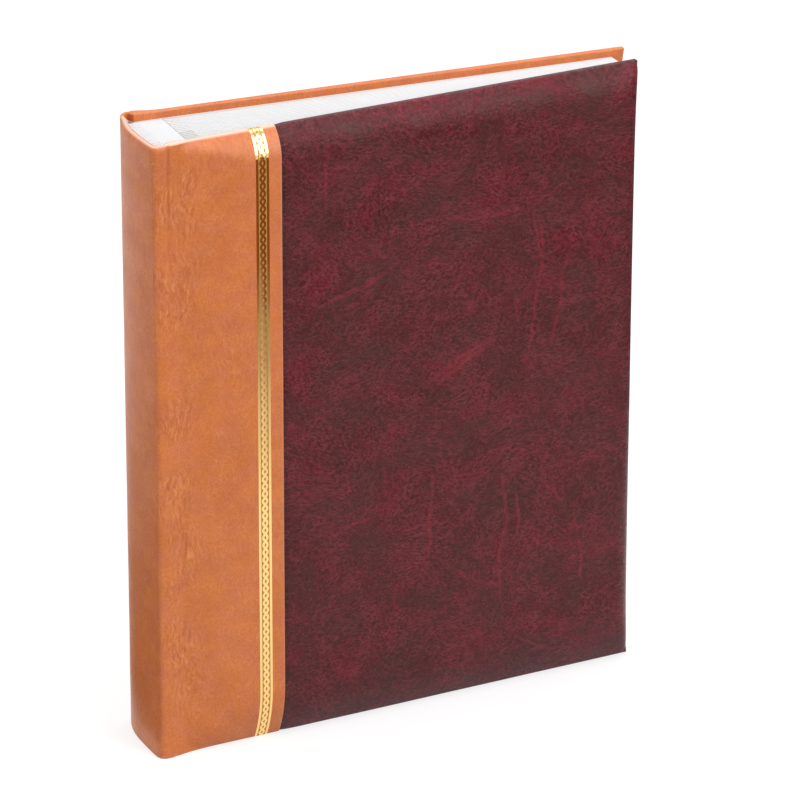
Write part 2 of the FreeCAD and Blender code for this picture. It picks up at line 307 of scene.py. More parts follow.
glassine, glassine_tree, glassine_shader = new_finish(
    "glassine", Base_Color=linear(243, 244, 243), Specular_IOR_Level=0.4, Alpha=0.6)
glassine_cloud = noise_at(glassine_tree, object_place(glassine_tree), 120, 4, 0.6)
glassine_tree.links.new(ramp(glassine_tree, glassine_cloud, (0.3, 0.28), (0.7, 0.4)),
                        glassine_shader.inputs["Roughness"])
glassine_tree.links.new(ramp(glassine_tree, glassine_cloud, (0.3, linear(238, 239, 238)),
                             (0.7, linear(246, 247, 246))), glassine_shader.inputs["Base Color"])
leaf_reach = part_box("leaf_08")[1].x - joints["leaf_08"]["pos_m"][0]
slip_along = np.concatenate([np.linspace(INTERLEAF_START, 0.05, 16),
                             np.linspace(0.06, leaf_reach - INTERLEAF_SHORT, 8)])
slip_up = np.linspace(leaf_box[0].z + INTERLEAF_SHORT, leaf_box[1].z - INTERLEAF_SHORT, 12)
for before, after in zip(sheets[1:-2], sheets[2:-1]):
    carrier, across = (before, after) if joints[before]["pos_m"][1] < 0 else (after, before)
    axis, lean = hung(carrier)
    other, other_lean = hung(across)
    # half of the gap to the next leaf, which narrows from the hinge to the fore-edge
    halfway = (abs(other.y - axis.y) - slip_along * abs(math.sin(other_lean - lean))) / 2
    toward = math.copysign(1, other.y - axis.y)
    freed = ease(slip_along, INTERLEAF_LEAVES, INTERLEAF_HALFWAY)
    off = INTERLEAF_TIPPED + (halfway - INTERLEAF_TIPPED) * freed
    slip_faces = [from_hinge(axis, lean, slip_along, toward * (off + side * INTERLEAF), slip_up)
                  for side in (0.5, -0.5)]
    slip = sheet_mesh(f"interleaf_{before[-2:]}_{after[-2:]}", *slip_faces,
                      np.stack(np.meshgrid(slip_along, slip_up), -1))
    slip.data.materials.append(glassine)
    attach(slip, carrier)

# Boards
# Stiff greyboard, one for each cover, with a filler card inside that is level with the turn-ins.
greyboard = paper("greyboard", linear(190, 184, 172), linear(166, 160, 148), 0.9, 0.00005)
for node in ("front_board", "back_board", "front_board_filler", "back_board_filler"):
    paint(node, greyboard)

# Padding
# A thin slab of foam glued on the outside of each board, thinned off towards the edges so that the
# leather rolls over them. The long slope is on the joint side and the short one at the fore-edge.
COVER_HEIGHT = 0.305
CREASE_X, CREASE_Y, _ = joints["back_cover"]["pos_m"]
WEDGE = -hung("back_flyleaf")[1]
COVER_WIDTH = (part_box("front_panel_leather")[1].x - CREASE_X) / math.cos(WEDGE)
LEATHER = 0.0005
CROWN = 0.007
JOINT_FLAT = 0.005
ROLL_SPINE = 0.038
ROLL_FORE = 0.009
ROLL_HEAD = 0.014
ROLL_TAIL = 0.028
PAD_SHORT = 0.0007
PAD_CLEAR = 0.0001
PAD_LEAST = 0.00005
FRONT, BACK = -1, 1


def rolled(distance, reach):
    # height of the padding's edge as a share of its crown, a round that is level at its inner end
    radius = (reach ** 2 + CROWN ** 2) / (2 * CROWN)
    short = np.clip(reach - distance, 0, reach)
    return 1 - (radius - np.sqrt(radius ** 2 - short ** 2)) / CROWN


def crown_at(out, up):
    across = np.minimum(rolled(out - JOINT_FLAT, ROLL_SPINE), rolled(COVER_WIDTH - out, ROLL_FORE))
    upright = np.minimum(rolled(up, ROLL_TAIL), rolled(COVER_HEIGHT - up, ROLL_HEAD))
    loss = ((1 - across) ** 3 + (1 - upright) ** 3) ** (1 / 3)
    return CROWN * np.clip(1 - loss, 0, None)


def on_cover(side, out, up, lift):
    x = CREASE_X + out * math.cos(WEDGE) + lift * math.sin(WEDGE)
    y = side * (CREASE_Y - out * math.sin(WEDGE) + lift * math.cos(WEDGE))
    return np.stack(np.broadcast_arrays(x, y, up), -1)


def spaced(*stops):
    # a line of positions: each stop is where a stretch starts and how far apart its points are
    found = []
    for (start, gap), (end, _) in zip(stops, stops[1:]):
        found.append(np.linspace(start, end, max(1, math.ceil((end - start) / gap - 1e-6)),
                                 endpoint=False))
    return np.concatenate(found + [[stops[-1][0]]])


foam, foam_tree, foam_shader = new_finish("foam", Roughness=0.95, Specular_IOR_Level=0.1)
foam_cells = add(foam_tree, "ShaderNodeTexVoronoi", {
    "Vector": object_place(foam_tree), "Scale": 900.0}).outputs["Distance"]
foam_tree.links.new(ramp(foam_tree, foam_cells, (0.0, linear(215, 212, 202)),
                         (0.6, linear(238, 236, 228))), foam_shader.inputs["Base Color"])
bump(foam_tree, foam_shader, foam_cells, 0.0002)

pad_out = spaced((JOINT_FLAT, 0.004), (0.225, 0.0015), (COVER_WIDTH - PAD_SHORT, 0))
pad_up = spaced((PAD_SHORT, 0.002), (0.03, 0.004), (0.289, 0.002), (COVER_HEIGHT - PAD_SHORT, 0))
pad_grid = np.meshgrid(pad_out, pad_up)
for side, cover in ((FRONT, "front"), (BACK, "back")):
    top = on_cover(side, *pad_grid, np.maximum(crown_at(*pad_grid) - PAD_CLEAR, PAD_LEAST) - LEATHER)
    under = on_cover(side, *pad_grid, np.full(pad_grid[0].shape, -LEATHER))
    pad = sheet_mesh(f"{cover}_pad", top, under, np.stack(pad_grid, -1))
    pad.data.materials.append(foam)
    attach(pad, f"{cover}_cover")
    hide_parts(f"{cover}_padding")

# Burgundy panel
# Leatherette over most of the front cover: a thin coat of colour, embossed with fine veins, on a
# paper back. It is drawn over the padding and turned in round three edges of the board.
PANEL_START = 0.0541
EDGE_ROUND = 0.0006
TURN_IN = 0.015
BOARD_DEPTH = 0.003
CORNER_ROUND = 0.0006
CORNER_REACH = {FRONT: (0.0016, 0.0014), BACK: (0.0014, 0.0030)}
CORNER_UP_TAIL, CORNER_UP_HEAD, CORNER_IN = 0.016, 0.02, 0.03
FORE_PROUD = 0.0002
PANEL_STEP = 0.0005
SKIN = 0.00045


def edge_drop(distance, radius):
    short = np.clip(1 - distance / radius, 0, 1)
    return radius * (1 - np.sqrt(1 - short ** 2))


def fore_corner(side, out, up):
    # the fore-edge, drawn out a little at both ends where the leather is folded, with crisp corners
    middle = COVER_HEIGHT / 2
    tail, head = CORNER_REACH[side]
    reach = (tail * np.exp(-up / CORNER_UP_TAIL)
             + head * np.exp((up - COVER_HEIGHT) / CORNER_UP_HEAD) + FORE_PROUD)
    a = np.clip(1 - (COVER_WIDTH - out) / CORNER_ROUND, 0, 1)
    b = np.clip(1 - (middle - np.abs(up - middle)) / CORNER_ROUND, 0, 1)
    new_out = np.where(a * b > 0, COVER_WIDTH - CORNER_ROUND * (1 - a * np.sqrt(1 - b * b / 2)), out)
    edge = middle - CORNER_ROUND * (1 - b * np.sqrt(1 - a * a / 2))
    new_up = np.where(a * b > 0, middle + np.sign(up - middle) * edge, up)
    return new_out + reach * ease(out, COVER_WIDTH - CORNER_IN, COVER_WIDTH), new_up


def edge_lines():
    # lines in from an edge: close together on its round, then wider apart as far as the turn-in goes
    angles = np.radians([90, 67.5, 45, 22.5, 0])
    inward = np.array([1.3, 2, 3, 4.2, 5.6, 7.2, 9, 11, 13, 15]) / 1000
    return np.concatenate([EDGE_ROUND * (1 - np.sin(angles)), inward])


def upright_lines(gap):
    edge = edge_lines()
    return np.concatenate([edge[:-1], spaced((edge[-1], gap), (COVER_HEIGHT - edge[-1], 0)),
                           (COVER_HEIGHT - edge[:-1])[::-1]])


def waviness(out, up, size, seed):
    flat = [noise.noise(Vector((a / size, b / size, seed))) for a, b in zip(out.ravel(), up.ravel())]
    return np.array(flat).reshape(out.shape)


def wrapped_skin(name, side, place, out, up, lift, depth, drawn_in, fore_edge, material):
    # leather over a board: an outer face, the edge and a turn-in, drawn from one grid of lines
    grid_out, grid_up = np.meshgrid(out, up)
    rows, columns = grid_out.shape
    ends = np.minimum(grid_up, COVER_HEIGHT - grid_up)
    fore = COVER_WIDTH - grid_out if fore_edge else np.full(grid_out.shape, 1.0)
    drop = np.maximum(edge_drop(ends, EDGE_ROUND), edge_drop(fore, EDGE_ROUND))
    plan_out, plan_up = fore_corner(side, grid_out, grid_up) if fore_edge else (grid_out, grid_up)
    plan_up = np.clip(plan_up, drawn_in(grid_out), COVER_HEIGHT - drawn_in(grid_out))
    outer = place(side, plan_out, plan_up, lift(grid_out, grid_up) - drop)
    inner = place(side, plan_out, plan_up, -depth(grid_out) + drop)
    number = np.arange(rows * columns).reshape(rows, columns)
    below = number + rows * columns
    turned = np.minimum(ends, fore) <= TURN_IN + 1e-6
    whole = turned[:-1, :-1] & turned[:-1, 1:] & turned[1:, 1:] & turned[1:, :-1]
    faces = (quads(number[:-1, :-1], number[:-1, 1:], number[1:, 1:], number[1:, :-1])
             + quads(below[:-1, :-1][whole], below[1:, :-1][whole],
                     below[1:, 1:][whole], below[:-1, 1:][whole])
             + quads(number[0, :-1], below[0, :-1], below[0, 1:], number[0, 1:])
             + quads(number[-1, :-1], number[-1, 1:], below[-1, 1:], below[-1, :-1]))
    if fore_edge:
        faces += quads(number[:-1, -1], below[:-1, -1], below[1:, -1], number[1:, -1])
    # on the map the turn-in is folded out past the edge
    back_out = np.where(fore < ends, 2 * COVER_WIDTH + BOARD_DEPTH - grid_out, grid_out)
    back_up = np.where(grid_up > COVER_HEIGHT / 2, 2 * COVER_HEIGHT + BOARD_DEPTH - grid_up,
                       -BOARD_DEPTH - grid_up)
    back_up = np.where(fore < ends, grid_up, back_up)
    spots = np.concatenate([np.stack([grid_out, grid_up], -1).reshape(-1, 2),
                            np.stack([back_out, back_up], -1).reshape(-1, 2)])
    points = np.concatenate([outer.reshape(-1, 3), inner.reshape(-1, 3)])
    used = np.zeros(len(points), bool)
    used[np.array(faces).ravel()] = True
    renumber = np.cumsum(used) - 1
    flat = bpy.data.meshes.new(name + "_flat")
    flat.from_pydata(points[used].tolist(), [], renumber[np.array(faces)].tolist())
    flat.update()
    if side == BACK:
        flat.flip_normals()
    lay_map(flat, spots[used])
    flat.polygons.foreach_set("use_smooth", [True] * len(flat.polygons))
    flat.materials.append(material)
    piece = put_in(name, flat)
    wall = piece.modifiers.new("wall", "SOLIDIFY")
    wall.thickness = SKIN
    wall.offset = -1
    made_plain(piece).set_sharp_from_angle(angle=SHARP_EDGE)
    piece.data.name = name
    return piece


def made_plain(piece):
    # the mesh that the modifiers make takes the place of the one they start from
    start = piece.data
    plain = bpy.data.meshes.new_from_object(piece.evaluated_get(bpy.context.evaluated_depsgraph_get()))
    piece.modifiers.clear()
    piece.data = plain
    bpy.data.meshes.remove(start)
    return plain


def flat_place(tree):
    # the leather's own map is in metres, so this gives millimetres on its surface
    spot = add(tree, "ShaderNodeUVMap", uv_map="flat_map").outputs["UV"]
    return add(tree, "ShaderNodeVectorMath", {0: spot, 1: (1000, 1000, 1000)},
               operation="MULTIPLY").outputs[0]


def wandering(tree, place, scale, reach):
    # places moved about by a slow drift, so that straight patterns wander
    drift = add(tree, "ShaderNodeTexNoise", {"Vector": place, "Scale": scale, "Detail": 0.0})
    centred = add(tree, "ShaderNodeVectorMath", {0: drift.outputs["Color"], 1: (0.5, 0.5, 0.5)},
                  operation="SUBTRACT").outputs[0]
    moved = add(tree, "ShaderNodeVectorMath", {0: centred, "Scale": reach}, operation="SCALE").outputs[0]
    return add(tree, "ShaderNodeVectorMath", {0: place, 1: moved}, operation="ADD").outputs[0]


def stretched(tree, place, across, upward, turn=0.0):
    return add(tree, "ShaderNodeMapping", {
        "Vector": place, "Scale": (across, upward, 1), "Rotation": (0, 0, turn)}).outputs[0]


def strongest(tree, *values):
    found = values[0]
    for value in values[1:]:
        found = math_node(tree, "MAXIMUM", found, value)
    return found


def times(tree, *values):
    found = values[0]
    for value in values[1:]:
        found = math_node(tree, "MULTIPLY", found, value)
    return found


def faded(tree, value, full, none):
    return add(tree, "ShaderNodeMapRange", {
        "Value": value, "From Min": full, "From Max": none, "To Min": 1.0, "To Max": 0.0},
        interpolation_type="SMOOTHSTEP").outputs[0]


def away_from(tree, value, middle):
    return math_node(tree, "ABSOLUTE", math_node(tree, "SUBTRACT", value, middle))


def crinkles(tree, place, stretch, scale, width, turns):
    # a web of thin lines, which run where a soft noise crosses its middle value
    lines = []
    for turn in turns:
        web = noise_at(tree, stretched(tree, place, *stretch, turn), scale, 3, 0.5)
        lines.append(faded(tree, away_from(tree, web, 0.5), 0.0, width))
    return strongest(tree, *lines)


def crease(tree, place, out, up, length, turn):
    # a long soft line across the sheet that fades at both ends
    local = add(tree, "ShaderNodeMapping", {
        "Vector": place, "Location": (out, up, 0), "Rotation": (0, 0, math.radians(turn))},
        vector_type="TEXTURE").outputs[0]
    spot = add(tree, "ShaderNodeSeparateXYZ", {0: local}).outputs
    along, away = [math_node(tree, "ABSOLUTE", spot[axis]) for axis in "XY"]
    return times(tree, faded(tree, away, 0.1, CREASE_WIDTH),
                 faded(tree, along, 0.25 * length, 0.55 * length))


# creases in the sheet: millimetres from the joint and from the tail, length and slope
CREASES = ((185, 227, 44, 92), (187, 226, 36, 88), (183, 186, 44, 83), (198, 202, 60, 80),
           (156, 245, 50, -2), (145, 174, 46, 25), (147, 172, 34, 27), (88, 220, 46, 16),
           (130, 275, 16, 90), (76, 279, 34, 87), (129, 94, 60, 86), (88, 101, 28, 19),
           (168, 82, 80, 89), (175, 90, 38, 88), (195, 98, 22, -52), (210, 66, 44, 94),
           (155, 62, 32, -26))
CREASE_WIDTH = 1.6
PANEL_SHADE = 3.0

burgundy, wine, wine_shader = new_finish("burgundy_leather", Specular_IOR_Level=0.19)
wine_place = flat_place(wine)
wine_flow = wandering(wine, wine_place, 0.03, 16.0)
wine_crimp = wandering(wine, wine_flow, 0.3, 1.6)
wine_drawn = wandering(wine, wandering(wine, wine_place, 0.04, 7.0), 0.16, 2.0)
wine_patch = noise_at(wine, stretched(wine, wine_flow, 0.8, 1.1, 0.7), 0.045, 5, 0.62)
wine_where = noise_at(wine, wandering(wine, wine_place, 0.1, 6.0), 0.03, 1, 0.5)
wine_lying = noise_at(wine, stretched(wine, wine_crimp, 0.5, 1, 0.15), 0.95, 3, 0.65)
wine_leaning = noise_at(wine, stretched(wine, wine_crimp, 0.55, 1, 0.95), 0.95, 3, 0.65)
wine_grain = add(wine, "ShaderNodeMix", {
    0: ramp(wine, wine_where, (0.44, 0.0), (0.58, 1.0)), 2: wine_lying, 3: wine_leaning}).outputs[0]
wine_busy = ramp(wine, wine_patch, (0.36, 0.6), (0.58, 1.0))
wine_net = times(wine, crinkles(wine, wine_flow, (0.6, 1), 0.24, 0.022, (0.2, 1.2)),
                 ramp(wine, noise_at(wine, wine_crimp, 0.12, 2, 0.6), (0.4, 0.15), (0.58, 1.0)))
wine_broken = ramp(wine, noise_at(wine, wine_crimp, 0.22, 3, 0.6), (0.38, 0.25), (0.55, 1.0))
wine_creases = times(wine, strongest(wine, *[crease(wine, wine_drawn, *place) for place in CREASES]),
                     wine_broken)
# painted highlight: the crests of the grain are painted lighter, together with the lighter web of thin
# lines
wine_net_and_crest_highlight = strongest(wine, times(wine, ramp(wine, wine_grain, (0.48, 0.0), (0.75, 0.65)), wine_busy),
                        times(wine, wine_net, wine_busy, 0.56))
# painted shade: the furrows of the grain are painted darker
wine_furrow_shade = times(wine, ramp(wine, wine_grain, (0.3, 1.0), (0.5, 0.0)), wine_busy)
wine_ground = ramp(wine, wine_patch, (0.33, linear(73, 34, 32)), (0.48, linear(80, 26, 29)),
                   (0.66, linear(100, 20, 31)))
# painted shadow: the panel is darker in the corner beside the quarter's cut edge, as if shaded by the tan's
# raised edge
wine_beside = add(wine, "ShaderNodeMapRange", {
    "Value": add(wine, "ShaderNodeSeparateXYZ", {0: wine_place}).outputs["X"],
    "From Min": 1000 * PANEL_START, "From Max": 1000 * PANEL_START + PANEL_SHADE}).outputs[0]
wine_edge_shadow = ramp(wine, wine_beside, (0.25, 0.7), (1.0, 0.0))
wine_shaded = blend_colour(wine, strongest(wine, times(wine, wine_furrow_shade, 0.75), wine_edge_shadow), wine_ground,
                           linear(40, 14, 15))
wine_creased = blend_colour(wine, times(wine, wine_creases, 0.58), wine_shaded, linear(136, 36, 50))
wine_colour = blend_colour(wine, wine_net_and_crest_highlight, wine_creased, linear(152, 58, 68))
wine.links.new(wine_colour, wine_shader.inputs["Base Color"])
wine.links.new(ramp(wine, wine_patch, (0.35, 0.27), (0.65, 0.22)), wine_shader.inputs["Roughness"])
wine_fine = math_node(wine, "ADD", wine_grain, times(wine, wine_net, 0.15))
wine_height = math_node(wine, "ADD", times(wine, wine_creases, 0.4), times(wine, wine_fine, wine_busy))
bump(wine, wine_shader, wine_height, 0.0008, 0.95)


def stepped_down(out, reach):
    # beside the quarter the panel lies lower, under the tan leather
    return PANEL_STEP * (1 - ease(out, PANEL_START, PANEL_START + reach))


def panel_lift(out, up):
    return crown_at(out, up) - stepped_down(out, 0.010) + 0.00012 * waviness(out, up, 0.03, 1.7)


def panel_drawn_in(out):
    return stepped_down(out, 0.006)


def panel_depth(out):
    return BOARD_DEPTH - panel_drawn_in(out)


panel_out = np.concatenate([spaced((PANEL_START - 0.0012, 0.0006), (PANEL_START + 0.004, 0.002),
                                   (COVER_WIDTH - TURN_IN, 0)), (COVER_WIDTH - edge_lines()[:-1])[::-1]])
panel = wrapped_skin(
    "front_panel", FRONT, on_cover, panel_out, upright_lines(0.002),
    panel_lift, panel_depth, panel_drawn_in, True, burgundy)
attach(panel, "front_cover")
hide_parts("front_panel_leather")

# Tan leather
# One sheet of tan leatherette is drawn round the spine, pressed into both joints, and glued over the
# front quarter and the whole back cover. Its cut edge laps over the burgundy panel.
SPINE_WALL = 0.002
APEX_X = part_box("spine_leather")[0].x
CAP_ROUND = 0.0028
CAP_DROP = 0.0016
FLARE_UP = 0.012
FLARE_OUT = 0.008
INSIDE = -0.0012
GROOVE_PLACE, GROOVE_WIDTH = 0.0004, 0.0011
NOTCH_DEPTH, NOTCH_WIDTH = 0.0003, 0.0016
CUT_ROUND = 0.0003


class Ridge:
    # half of the spine's plan: a flat shoulder beside the crease, a tight ridge and half of the round
    def __init__(self, shoulder, rise, turn, tail_flare, head_flare, flare_at, flare_round):
        self.shoulder, self.rise, self.turn = shoulder, rise, turn
        self.tail_flare, self.head_flare = tail_flare, head_flare
        self.flare_at, self.flare_round = flare_at, flare_round
        self.x, self.y = CREASE_X - shoulder, CREASE_Y + rise - turn
        run = self.x - APEX_X
        self.radius = (run ** 2 + self.y ** 2 - turn ** 2) / (2 * (run - turn))
        self.half = math.atan2(self.y, APEX_X + self.radius - self.x)
        self.bend = turn * (math.pi / 2 - self.half)
        self.round_from = -shoulder - self.bend
        self.reach = self.radius * self.half - self.round_from


RIDGES = {FRONT: Ridge(0.00435, 0.0008, 0.0025, 0.0018, 0.0012, -0.004, 0.012),
          BACK: Ridge(0.00237, 0.0, 0.003, 0.0012, 0.0028, 0.0, 0.003)}


def on_album(side, out, up, lift):
    # the cover's face for positive distances from the crease, and round the spine for negative ones
    ridge = RIDGES[side]
    # the ridges flare out towards the tail and the head
    flare = (ridge.tail_flare * np.exp(-(up / FLARE_UP) ** 2)
             + ridge.head_flare * np.exp(-((COVER_HEIGHT - up) / FLARE_UP) ** 2))
    inside = lift < INSIDE
    flare = flare * np.where(inside, 1 - ease(out, -0.001, 0.0015), 1)
    flare_width = np.where(out > ridge.flare_at, FLARE_OUT, ridge.flare_round)
    lift = lift + flare * np.exp(-((out - ridge.flare_at) / flare_width) ** 2)
    # the head of the spine is rolled in, from the round to the front joint
    rolled_from = (-0.001, 0.004) if side == FRONT else (ridge.round_from - 0.006, ridge.round_from)
    short = np.clip(1 - (COVER_HEIGHT - up) / CAP_ROUND, 0, 1)
    lift = lift - CAP_DROP * (1 - np.sqrt(1 - short ** 2)) * (1 - ease(out, *rolled_from))
    back = np.clip(-out, 0, None)
    over = np.clip(back - ridge.shoulder, 0, ridge.bend)
    far = np.clip(back + ridge.round_from, 0, None)
    angle = math.pi / 2 + over / ridge.turn + far / ridge.radius
    middle_x = np.where(far > 0, APEX_X + ridge.radius, ridge.x)
    middle_y = np.where(far > 0, 0, ridge.y)
    radius = np.where(far > 0, ridge.radius, ridge.turn) + lift
    x = np.where(back > ridge.shoulder, middle_x + radius * np.cos(angle), CREASE_X - back)
    y = np.where(back > ridge.shoulder, middle_y + radius * np.sin(angle), CREASE_Y + ridge.rise + lift)
    round_the_spine = np.stack(np.broadcast_arrays(x, side * y, up), -1)
    lift = lift + ridge.rise * (1 - ease(out, 0, np.where(inside, 0.0035, 0.022)))
    return np.where((out < 0)[..., None], round_the_spine, on_cover(side, out, up, lift))


tan, hide, hide_shader = new_finish("tan_leather", Specular_IOR_Level=0.4)
hide_place = flat_place(hide)
hide_spot = add(hide, "ShaderNodeSeparateXYZ", {0: hide_place}).outputs
hide_flow = wandering(hide, hide_place, 0.05, 9.0)
hide_crimp = wandering(hide, hide_flow, 0.25, 2.0)
hide_patch = noise_at(hide, hide_place, 0.05, 4, 0.6)
hide_tint = noise_at(hide, wandering(hide, hide_place, 0.1, 5.0), 0.09, 3, 0.55)
hide_grain = noise_at(hide, hide_crimp, 0.9, 3, 0.65)
# wrinkles that run up and down in bunches, most of them where the sheet is pressed into the joint
hide_flames = noise_at(hide, stretched(hide, hide_crimp, 1, 0.2, 0.05), 0.75, 2.5, 0.55)
hide_joint = faded(hide, away_from(hide, hide_spot["X"], 3.0), 4.0, 13.0)
hide_bunch = times(hide, ramp(hide, noise_at(hide, hide_place, 0.028, 2), (0.42, 0.0), (0.56, 1.0)),
                   ramp(hide, hide_joint, (0.0, 0.35), (1.0, 1.0)))
hide_crinkle = times(hide, crinkles(hide, hide_flow, (1, 0.6), 0.22, 0.02, (-0.2, 0.7)),
                     ramp(hide, noise_at(hide, hide_crimp, 0.1, 2, 0.6), (0.42, 0.0), (0.6, 0.6)))
hide_raised = strongest(hide, times(hide, ramp(hide, hide_flames, (0.52, 0.0), (0.7, 1.0)), hide_bunch),
                        ramp(hide, hide_grain, (0.5, 0.0), (0.75, 0.45)), hide_crinkle)
hide_sunk = strongest(hide, times(hide, ramp(hide, hide_flames, (0.34, 1.0), (0.48, 0.0)), hide_bunch),
                      ramp(hide, hide_grain, (0.28, 0.5), (0.5, 0.0)))
hide_warm = ramp(hide, hide_patch, (0.34, linear(205, 113, 54)), (0.66, linear(217, 123, 62)))
hide_rosy = ramp(hide, hide_patch, (0.34, linear(202, 110, 64)), (0.66, linear(213, 121, 74)))
hide_ground = blend_colour(hide, ramp(hide, hide_tint, (0.4, 0.0), (0.6, 1.0)), hide_warm, hide_rosy)
# painted shade: the groove of each joint is painted darker, most towards the head
hide_groove_shade = times(hide, faded(hide, away_from(hide, hide_spot["X"], 0.4), 0.1, 1.3),
                     faded(hide, hide_spot["Y"], 285, 230))
hide_sunk_and_groove_shade = strongest(hide, times(hide, hide_sunk, 0.7), times(hide, hide_groove_shade, 0.6))
hide_shaded = blend_colour(hide, hide_sunk_and_groove_shade, hide_ground, linear(176, 88, 42))
hide_veined = blend_colour(hide, times(hide, hide_raised, 0.72), hide_shaded, linear(232, 152, 96))
# a painted highlight: the rims where the sheet is folded over the head and tail of the front and the spine
# are painted cream;
# a paler pink strip runs along the front quarter's cut edge
hide_beyond = math_node(hide, "SUBTRACT", away_from(hide, hide_spot["Y"], 500 * COVER_HEIGHT),
                        500 * COVER_HEIGHT)
hide_toward_back = add(hide, "ShaderNodeSeparateXYZ", {0: object_place(hide)}).outputs["Y"]
hide_on_front = faded(hide, hide_toward_back, 0.0, 0.005)
hide_rim_highlight = times(hide, faded(hide, hide_beyond, 0.3, -0.7), faded(hide, hide_beyond, 2.4, 3.4),
                  faded(hide, hide_toward_back, 0.017, 0.021),
                  strongest(hide, hide_on_front, faded(hide, hide_spot["X"], -1.0, 0.5)))
hide_cut = faded(hide, hide_spot["X"], 1000 * PANEL_START - 0.2, 1000 * PANEL_START - 1.2)
hide_edged = blend_colour(hide, times(hide, hide_cut, hide_on_front, 0.5), hide_veined,
                          linear(212, 142, 112))
hide_colour = blend_colour(hide, times(hide, hide_rim_highlight, 0.8), hide_edged, linear(242, 222, 204))
hide.links.new(hide_colour, hide_shader.inputs["Base Color"])
hide.links.new(ramp(hide, hide_patch, (0.3, 0.46), (0.7, 0.38)), hide_shader.inputs["Roughness"])
hide_height = math_node(hide, "ADD", times(hide, hide_crinkle, 0.3), math_node(
    hide, "ADD", times(hide, hide_grain, 0.5), times(hide, hide_flames, hide_bunch, 1.6)))
bump(hide, hide_shader, hide_height, 0.0002, 0.6)


def hide_lift(out, up):
    # the groove of the joint is deeper towards the head
    depth = 0.0001 + 0.0004 * ease(up, 0.22, 0.29)
    groove = depth * np.exp(-((out - GROOVE_PLACE) / GROOVE_WIDTH) ** 2)
    wave = 0.0001 * waviness(out, up, 0.025, 5.3)
    return np.where(out > 0, crown_at(np.maximum(out, 0), up), 0) - groove + wave


def quarter_lift(out, up):
    return hide_lift(out, up) - edge_drop(PANEL_START - out, CUT_ROUND)


def hide_depth(out):
    return SPINE_WALL + (BOARD_DEPTH - SPINE_WALL) * ease(out, -0.0008, 0.0008)


def joint_notch(out):
    return NOTCH_DEPTH * np.exp(-(out / NOTCH_WIDTH) ** 2)


def spine_lines(ridge):
    return spaced((-ridge.reach, 0.0012), (ridge.round_from - 0.0005, 0.0003),
                  (-ridge.shoulder, 0.0004), (-0.002, 0.00025), (0.003, 0.001), (0.012, 0))


quarter_out = np.concatenate([
    spine_lines(RIDGES[FRONT])[:-1],
    spaced((0.012, 0.0018), (PANEL_START - 0.001, 0.0002), (PANEL_START - CUT_ROUND, 0.0001),
           (PANEL_START, 0))])
back_out = np.concatenate([
    spine_lines(RIDGES[BACK])[:-1], spaced((0.012, 0.002), (COVER_WIDTH - TURN_IN, 0)),
    (COVER_WIDTH - edge_lines()[:-1])[::-1]])
hide_front = wrapped_skin(
    "front_quarter_and_spine", FRONT, on_album, quarter_out,
    upright_lines(0.002), quarter_lift, hide_depth, joint_notch, False, tan)
hide_back = wrapped_skin(
    "back_cover_and_spine", BACK, on_album, back_out,
    upright_lines(0.002), hide_lift, hide_depth, joint_notch, True, tan)
BEND_FROM, BEND_TO = -0.0018, 0.003
for piece, side, cover in ((hide_front, FRONT, "front_cover"), (hide_back, BACK, "back_cover")):
    ends = on_cover(side, np.array([BEND_FROM, BEND_TO]), np.zeros(2), np.zeros(2))
    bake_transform(piece)
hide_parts("front_quarter_leather", "spine_leather")
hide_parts("back_leather", "spine_leather")

# Gold band
# Hot stamped foil on the tan quarter: two plain lines with a two-strand braid between them. It was
# stamped on the flat sheet, so it runs over the head and tail and in with the turn-ins.
BAND_MIDDLE = 0.0443
BAND_LINE = 0.0012
BAND_LINE_OFF = 0.00264
BRAID_REPEAT = 0.00742
BRAID_SWING = 0.00106
BRAID_STRAND = 0.00115
BRAID_OVER = 0.08
LINE_STEP, STRAND_STEP = 0.0012, 0.0003
FOIL = 0.0001
GROUND_SUNK = -0.3

gold, foil_tree, foil_shader = new_finish(
    "gold_foil", Base_Color=linear(248, 208, 136), Metallic=1.0)
foil_place = object_place(foil_tree)
foil_tree.links.new(ramp(foil_tree, noise_at(foil_tree, foil_place, 700, 3), (0.3, 0.03), (0.7, 0.08)),
                    foil_shader.inputs["Roughness"])
bump(foil_tree, foil_shader, noise_at(foil_tree, foil_place, 1500, 2), 0.000008)

foil_ground, matt_tree, matt_shader = new_finish("gold_foil_ground", Metallic=0.3, Roughness=0.5)
matt_cloud = noise_at(matt_tree, object_place(matt_tree), 900, 3, 0.6)
matt_tree.links.new(ramp(matt_tree, matt_cloud, (0.3, linear(172, 120, 58)), (0.7, linear(198, 146, 78))),
                    matt_shader.inputs["Base Color"])
bump(matt_tree, matt_shader, matt_cloud, 0.00002)

band_up = upright_lines(0.0015)
band_out = np.full(band_up.shape, BAND_MIDDLE)
band_ends = np.minimum(band_up, COVER_HEIGHT - band_up)
band_drop = edge_drop(band_ends, EDGE_ROUND)
outer_run = on_album(FRONT, band_out, band_up, hide_lift(band_out, band_up) - band_drop)
inner_run = on_album(FRONT, band_out, band_up, -hide_depth(band_out) + band_drop)
tail_in = inner_run[(band_up <= TURN_IN)][::-1]
head_in = inner_run[(band_up >= COVER_HEIGHT - TURN_IN)][::-1]
guide_points = np.concatenate([tail_in, outer_run, head_in])
guide_mesh = bpy.data.meshes.new("gold_band_guide")
guide_mesh.from_pydata(guide_points.tolist(), [(i, i + 1) for i in range(len(guide_points) - 1)], [])
band = put_in("gold_braid", guide_mesh)

